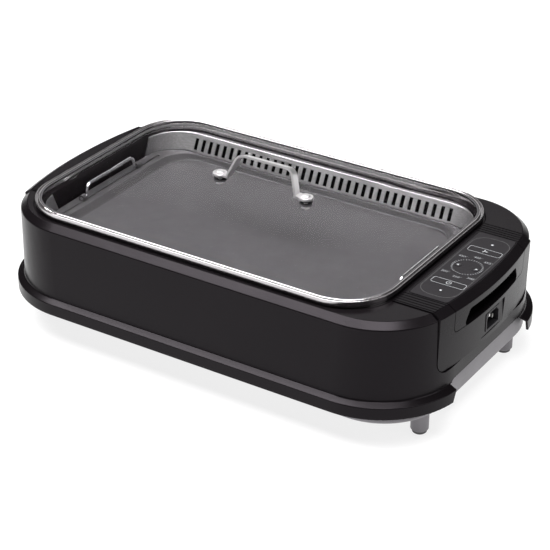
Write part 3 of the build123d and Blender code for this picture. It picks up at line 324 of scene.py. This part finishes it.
def brushed(name, tone, roughness, stretch, size=0.5 * MM, height=0.004 * MM):
    """Metal with fine parallel brush lines drawn out along the axis where stretch is small."""
    material = new_material(name, tone, roughness, metallic=1.0)
    vary_colour(material, *shades_of(tone, BRUSHED_SHADES), 3 * size, stretch)
    low, high = [roughness + drift for drift in BRUSHED_ROUGHNESS_DRIFT]
    vary_roughness(material, low, high, 2 * size, stretch)
    add_bump(material, size, height, stretch)
    return material


def polished(name, tone, roughness, metallic=1.0):
    """Plated or polished metal with faint ripples and smudges."""
    material = new_material(name, tone, roughness, metallic)
    vary_roughness(material, roughness, roughness + SMUDGE_ROUGHNESS, SMUDGE_SIZE)
    vary_colour(material, *shades_of(tone, POLISHED_SHADES), POLISHED_CLOUD)
    add_bump(material, RIPPLE_SIZE, RIPPLE_HEIGHT)
    return material


# ---------------------------------------------------------------- one material for each slot

def housing_material():
    return plastic("housing_plastic", (0.0034, 0.0027, 0.0032), 0.25, specular=0.125)


def pod_material():
    tone = (0.0036, 0.0030, 0.0035)
    return plastic("pod_plastic", tone, 0.26, specular=0.105, grain=0.5 * MM, grain_height=0.012 * MM)


def panel_material():
    tone = (0.0088, 0.0080, 0.0090)
    return plastic("panel_plastic", tone, 0.34, specular=0.22, grain=0.4 * MM, grain_height=0.004 * MM)


def key_material():
    tone = (0.0092, 0.0084, 0.0094)
    return plastic("key_plastic", tone, 0.34, specular=0.22, grain=0.4 * MM, grain_height=0.004 * MM)


def print_material():
    """Light ink that glows a little, as if lit from behind."""
    material = new_material("white_print", (0.32, 0.33, 0.34), 0.5)
    shader_of(material).inputs["Emission Color"].default_value = (0.95, 0.97, 1.0, 1.0)
    shader_of(material).inputs["Emission Strength"].default_value = 0.08
    vary_colour(material, (0.29, 0.30, 0.31), (0.34, 0.35, 0.36), 1.0 * MM)
    return material


def grey_print_material():
    """Dark grey ink of the frame round the controls."""
    material = new_material("grey_print", (0.07, 0.07, 0.07), 0.5)
    vary_colour(material, (0.06, 0.06, 0.06), (0.08, 0.08, 0.08), 1.0 * MM)
    return material


def inlet_material():
    return plastic("inlet_plastic", (0.010, 0.010, 0.011), 0.5, specular=0.3)


def contacts_material():
    return polished("nickel_contacts", (0.90, 0.89, 0.87), 0.30)


def board_material():
    """Green solder mask with streaks."""
    material = plastic("circuit_board", (0.03, 0.16, 0.07), 0.45)
    vary_colour(material, (0.02, 0.12, 0.05), (0.05, 0.20, 0.09), 3 * MM, (1.0, 0.2, 1.0))
    return material


def switch_material():
    return plastic("switch_plastic", (0.05, 0.05, 0.052), 0.5)


def screw_material():
    return polished("zinc_screws", (0.66, 0.66, 0.64), 0.26)


def pan_material():
    tone = (0.20, 0.194, 0.204)
    return plastic("pan_plastic", tone, 0.42, specular=0.4, grain=0.8 * MM, grain_height=0.015 * MM)


def rubber_material():
    tone = (0.10, 0.10, 0.10)
    return plastic("foot_rubber", tone, 0.7, specular=0.3, grain=0.7 * MM, grain_height=0.03 * MM)


def motor_material():
    return polished("motor_can", (0.48, 0.48, 0.47), 0.35)


def fan_material():
    return plastic("fan_plastic", (0.05, 0.05, 0.055), 0.5)


def box_steel_material():
    return brushed("coated_steel", (0.42, 0.42, 0.42), 0.38, stretch=(0.05, 1.0, 1.0))


def element_material():
    """Steel sheath browned by heat."""
    material = polished("element_sheath", (0.22, 0.20, 0.18), 0.42)
    vary_colour(material, (0.16, 0.14, 0.13), (0.30, 0.26, 0.22), 15 * MM)
    return material


def ceramic_material():
    return plastic("ceramic", (0.76, 0.73, 0.66), 0.55)


def tray_material():
    return brushed("tray_steel", (0.55, 0.55, 0.56), 0.32, stretch=(0.06, 1.0, 1.0))


def griddle_material():
    """Dark grey non-stick coating with a very fine orange peel."""
    material = new_material("nonstick_coating", (0.022, 0.022, 0.022), 0.40, specular=0.12)
    vary_colour(material, (0.0205, 0.0194, 0.0206), (0.0255, 0.0242, 0.0258), 0.9 * MM)
    vary_roughness(material, 0.38, 0.48, 14 * MM)
    add_bump(material, 0.8 * MM, 0.02 * MM)
    return material


def bright_wire_material():
    return polished("chrome_wire", (0.92, 0.91, 0.93), 0.16)


def liner_material():
    return brushed("liner_steel", (0.31, 0.30, 0.308), 0.35, stretch=(0.04, 1.0, 1.0), height=0.001 * MM)


def rim_material():
    return polished("rim_steel", (0.52, 0.50, 0.51), 0.14)


def handle_material():
    return polished("handle_steel", (0.86, 0.84, 0.85), 0.28, metallic=0.9)


def seal_material():
    return plastic("silicone_seal", (0.045, 0.044, 0.046), 0.6, specular=0.3)


def glass_material():
    """Clear tempered glass; lamp light passes straight through it to what is under it."""
    material = new_material("tempered_glass", GLASS_TONE, GLASS_ROUGHNESS)
    tree = material.node_tree
    shader = shader_of(material)
    shader.inputs["Transmission Weight"].default_value = 1.0
    shader.inputs["IOR"].default_value = GLASS_IOR
    vary_roughness(material, 0.0, GLASS_ROUGHNESS_MOST, GLASS_PATCH)
    clear = tree.nodes.new("ShaderNodeBsdfTransparent")
    clear.inputs["Color"].default_value = GLASS_SHADOW_TONE
    ray = tree.nodes.new("ShaderNodeLightPath")
    mix = tree.nodes.new("ShaderNodeMixShader")
    tree.links.new(ray.outputs["Is Shadow Ray"], mix.inputs["Fac"])
    tree.links.new(shader.outputs["BSDF"], mix.inputs[1])
    tree.links.new(clear.outputs["BSDF"], mix.inputs[2])
    tree.links.new(mix.outputs["Shader"], tree.nodes["Material Output"].inputs["Surface"])
    return material


SLOT_MATERIALS = {
    "housing": housing_material, "pod": pod_material, "panel": panel_material, "key": key_material,
    "print": print_material, "inlet": inlet_material, "contacts": contacts_material,
    "board": board_material, "switch": switch_material, "screw": screw_material, "pan": pan_material,
    "foot_rubber": rubber_material, "motor": motor_material, "fan": fan_material,
    "box_steel": box_steel_material, "element": element_material, "ceramic": ceramic_material,
    "tray": tray_material, "griddle": griddle_material, "bright_wire": bright_wire_material,
    "liner": liner_material, "glass": glass_material, "rim": rim_material,
    "handle": handle_material, "seal": seal_material,
}


def dress_nodes():
    """Give every CAD node the material of its slot, and return the materials by slot."""
    finishes = {slot: make() for slot, make in SLOT_MATERIALS.items()}
    for part in frame["record"]["subparts"]:
        finish = finishes[part["material_slot"]]
        for place in nodes[part["node"]].material_slots:
            place.material = finish
    return finishes


# ---------------------------------------------------------------- mesh helpers

def finish_piece(name, bm, material, body, smooth=False):
    """Turn a bmesh into a named piece that rides a body and takes the given material."""
    bmesh.ops.recalc_face_normals(bm, faces=bm.faces)
    mesh = bpy.data.meshes.new(name)
    bm.to_mesh(mesh)
    bm.free()
    mesh.materials.append(material)
    if smooth:
        mesh.shade_smooth()
    piece = bpy.data.objects.new(name, mesh)
    bpy.context.scene.collection.objects.link(piece)
    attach(piece, body)
    return piece


def add_prism(bm, points, low, high):
    """Flat upright prism with the given (x, y) outline."""
    under = [bm.verts.new((x, y, low)) for x, y in points]
    over = [bm.verts.new((x, y, high)) for x, y in points]
    bm.faces.new(list(reversed(under)))
    bm.faces.new(over)
    count = len(points)
    for i in range(count):
        after = (i + 1) % count
        bm.faces.new((under[i], under[after], over[after], over[i]))


def add_band(bm, outer, inner, low, high, closed=True):
    """Flat band between two outlines with the same number of points."""
    count = len(outer)
    rings = [
        [bm.verts.new((x, y, z)) for x, y in line]
        for line, z in ((outer, low), (outer, high), (inner, high), (inner, low))
    ]
    last = count if closed else count - 1
    for a in range(4):
        b = (a + 1) % 4
        for i in range(last):
            after = (i + 1) % count
            bm.faces.new((rings[a][i], rings[a][after], rings[b][after], rings[b][i]))
    if not closed:
        bm.faces.new([ring[0] for ring in rings])
        bm.faces.new([ring[-1] for ring in reversed(rings)])


def rounded_rectangle(half_x, half_y, radius, steps, middle=(0.0, 0.0)):
    """Outline points, counter-clockwise, with steps points round each corner."""
    points = []
    for turn, (side_x, side_y) in enumerate(((1, -1), (1, 1), (-1, 1), (-1, -1))):
        centre_x = middle[0] + side_x * (half_x - radius)
        centre_y = middle[1] + side_y * (half_y - radius)
        for i in range(steps):
            angle = math.pi / 2 * (turn - 1 + i / (steps - 1))
            points.append((centre_x + radius * math.cos(angle), centre_y + radius * math.sin(angle)))
    return points


def arc_points(middle, radius, start, end, steps):
    """Points along an arc from one angle to another, both ends included."""
    return [
        (
            middle[0] + radius * math.cos(start + (end - start) * i / steps),
            middle[1] + radius * math.sin(start + (end - start) * i / steps),
        )
        for i in range(steps + 1)
    ]


# ---------------------------------------------------------------- glass dome

def dome_height(inset):
    """Rise of the dome's upper face over its flat edge, at a distance in from the edge."""
    climbed = min(max(inset - DOME_START, 0.0) / DOME_REACH, 1.0)
    return DOME_RISE * (1.0 - (1.0 - climbed) ** DOME_POWER)


def dome_ring(half_x, half_y, middle, inset):
    """Outline at a distance in from the edge; its corners stay as round as the edge's."""
    radius = min(DOME_CORNER, half_y - inset - DOME_MARGIN)
    return rounded_rectangle(half_x - inset, half_y - inset, radius, DOME_CORNER_STEPS, middle)


def glass_dome(material):
    """Smooth pressed-glass shell in the place of the CAD lid."""
    low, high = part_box("lid_glass")
    half_x, half_y = (high.x - low.x) / 2, (high.y - low.y) / 2
    middle = ((low.x + high.x) / 2, (low.y + high.y) / 2)
    edge_z = high.z - DOME_RISE
    insets = [GLASS_EDGE_ROUND, GLASS_FLAT_RING]
    for i in range(DOME_RINGS + 1):
        insets.append(DOME_START + DOME_REACH * (i / DOME_RINGS) ** DOME_RING_POWER)
    bm = bmesh.new()
    rings = []
    for inset in reversed(insets):
        z = edge_z - GLASS_THICK + dome_height(inset)
        rings.append([bm.verts.new((x, y, z)) for x, y in dome_ring(half_x, half_y, middle, inset)])
    for drop in (GLASS_THICK - GLASS_EDGE_ROUND, GLASS_EDGE_ROUND):
        side = dome_ring(half_x, half_y, middle, 0.0)
        rings.append([bm.verts.new((x, y, edge_z - drop)) for x, y in side])
    for inset in insets:
        z = edge_z + dome_height(inset)
        rings.append([bm.verts.new((x, y, z)) for x, y in dome_ring(half_x, half_y, middle, inset)])
    count = len(rings[0])
    for near, far in zip(rings, rings[1:]):
        for i in range(count):
            after = (i + 1) % count
            bm.faces.new((near[i], near[after], far[after], far[i]))
    bm.faces.new(list(reversed(rings[0])))
    bm.faces.new(rings[-1])
    dome = finish_piece("glass_dome", bm, material, "lid", smooth=True)
    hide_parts("lid_glass")


# ---------------------------------------------------------------- marks on the control panel

def panel_top():
    """Height where the ink on the panel starts."""
    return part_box("control_panel")[1].z + MARK_LIFT


def node_middle(name):
    """Middle of a node's box, as (x, y)."""
    low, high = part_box(name)
    return ((low.x + high.x) / 2, (low.y + high.y) / 2)


def scale_ticks(material):
    """Ring of short strokes round the dial, thicker next to the two temperature keys."""
    centre = node_middle("dial_light_ring")
    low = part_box("dial_light_ring")[1].z + MARK_LIFT
    half_turn = TICK_COUNT // 2
    bm = bmesh.new()
    for i in range(TICK_COUNT):
        angle = 2 * math.pi * i / TICK_COUNT
        at_side = i % half_turn in (0, 1, half_turn - 1)
        half = WIDE_TICK_HALF_ANGLE if at_side else TICK_HALF_ANGLE
        inner, outer = [
            arc_points(centre, radius, angle - half, angle + half, TICK_ARC_STEPS) for radius in TICK_RADII
        ]
        add_prism(bm, outer + inner[::-1], low, low + MARK_THICK)
    finish_piece("dial_ticks", bm, material, "base")


def scale_numbers(material):
    """Temperature numbers round the dial."""
    centre = node_middle("dial_light_ring")
    top = panel_top()
    for i, (word, step_x, step_y) in enumerate(NUMBERS):
        curve = bpy.data.curves.new("number", "FONT")
        curve.body = word
        curve.size = NUMBER_HEIGHT * FONT_SIZE_TO_HEIGHT
        curve.align_x = "CENTER"
        curve.align_y = "CENTER"
        curve.extrude = MARK_THICK / 2
        curve.offset = -NUMBER_THINNED
        carrier = bpy.data.objects.new("number", curve)
        bpy.context.scene.collection.objects.link(carrier)
        bpy.context.view_layer.update()
        mesh = bpy.data.meshes.new_from_object(carrier)
        bpy.data.objects.remove(carrier)
        shift = (centre[0] + step_x * MM, centre[1] + step_y * MM, top + MARK_THICK / 2)
        mesh.transform(Matrix.Translation(shift) @ Matrix.Diagonal((NUMBER_STRETCH, 1.0, 1.0, 1.0)))
        bm = bmesh.new()
        bm.from_mesh(mesh)
        finish_piece("dial_number_%d" % i, bm, material, "base")


def panel_outline(name, half_x, half_y, corner, width, steps, middle, material):
    """Thin line in the shape of a rounded rectangle, printed on the panel. The halves are its outside."""
    outer = rounded_rectangle(half_x, half_y, corner, steps, middle)
    inner = rounded_rectangle(half_x - width, half_y - width, corner - width, steps, middle)
    bm = bmesh.new()
    add_band(bm, outer, inner, panel_top(), panel_top() + MARK_THICK)
    finish_piece(name, bm, material, "base")


def key_outlines(material):
    """Outline round the visible cap of each long key."""
    for name in ("fan_key", "power_key"):
        low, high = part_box(name)
        half_x = (high.x - low.x) / 2 - KEY_FLANGE + OUTLINE_GAP
        half_y = (high.y - low.y) / 2 - KEY_FLANGE + OUTLINE_GAP
        panel_outline(
            name + "_outline", half_x, half_y, OUTLINE_CORNER, OUTLINE_WIDTH, OUTLINE_CORNER_STEPS,
            node_middle(name), material,
        )


def panel_frame(material):
    """Thin grey frame round all the controls."""
    x, y = node_middle("dial_light_ring")
    panel_outline(
        "panel_frame", FRAME_HALF_X, FRAME_HALF_Y, FRAME_CORNER, FRAME_WIDTH, FRAME_CORNER_STEPS,
        (x + FRAME_SHIFT, y), material,
    )


def fan_icon(material):
    """Three curved blades round a hub, on the fan key."""
    centre = node_middle("fan_key")
    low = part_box("fan_key")[1].z + MARK_LIFT
    bm = bmesh.new()
    for blade in range(BLADE_COUNT):
        turn = 2 * math.pi * blade / BLADE_COUNT
        points = []
        for along, across in BLADE_OUTLINE:
            x = centre[0] + MM * (along * math.cos(turn) - across * math.sin(turn))
            y = centre[1] + MM * (along * math.sin(turn) + across * math.cos(turn))
            points.append((x, y))
        add_prism(bm, points, low, low + MARK_THICK)
    hub = arc_points(centre, HUB_RADIUS, 0, 2 * math.pi, HUB_STEPS)
    add_prism(bm, hub[:-1], low, low + MARK_THICK)
    finish_piece("fan_icon", bm, material, "fan_key")


def power_icon(material):
    """Open ring with an upright stroke, on the power key."""
    centre = node_middle("power_key")
    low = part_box("power_key")[1].z + MARK_LIFT
    bm = bmesh.new()
    inner, outer = [
        arc_points(centre, radius, POWER_START, POWER_END, POWER_STEPS) for radius in POWER_RADII
    ]
    add_band(bm, outer, inner, low, low + MARK_THICK, closed=False)
    left, right = centre[0] - POWER_STROKE_HALF, centre[0] + POWER_STROKE_HALF
    near, far = [centre[1] + end for end in POWER_STROKE_ENDS]
    add_prism(bm, [(left, near), (right, near), (right, far), (left, far)], low, low + MARK_THICK)
    finish_piece("power_icon", bm, material, "power_key")


def arrow_icon(name, side, material):
    """Wedge on a round temperature key, pointing away from the dial's middle: side is 1 or -1."""
    centre = node_middle(name)
    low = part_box(name)[1].z + MARK_LIFT
    points = []
    for along, across in ARROW_OUTLINE:
        points.append((centre[0] + side * along * MM, centre[1] + across * MM))
    if side < 0:
        points.reverse()
    bm = bmesh.new()
    add_prism(bm, points, low, low + MARK_THICK)
    finish_piece(name + "_arrow", bm, material, name)


def add_marks(material):
    panel_frame(grey_print_material())
    scale_ticks(material)
    scale_numbers(material)
    key_outlines(material)
    fan_icon(material)
    power_icon(material)
    arrow_icon("temperature_up_key", 1, material)
    arrow_icon("temperature_down_key", -1, material)


# ---------------------------------------------------------------- the whole scene

def light_the_scene():
    add_world()
    add_floor()
    for softbox in SOFTBOXES:
        add_softbox(*softbox)
    bpy.context.scene.view_settings.view_transform = "Standard"


add_camera()
light_the_scene()
finishes = dress_nodes()
glass_dome(finishes["glass"])
add_marks(finishes["print"])
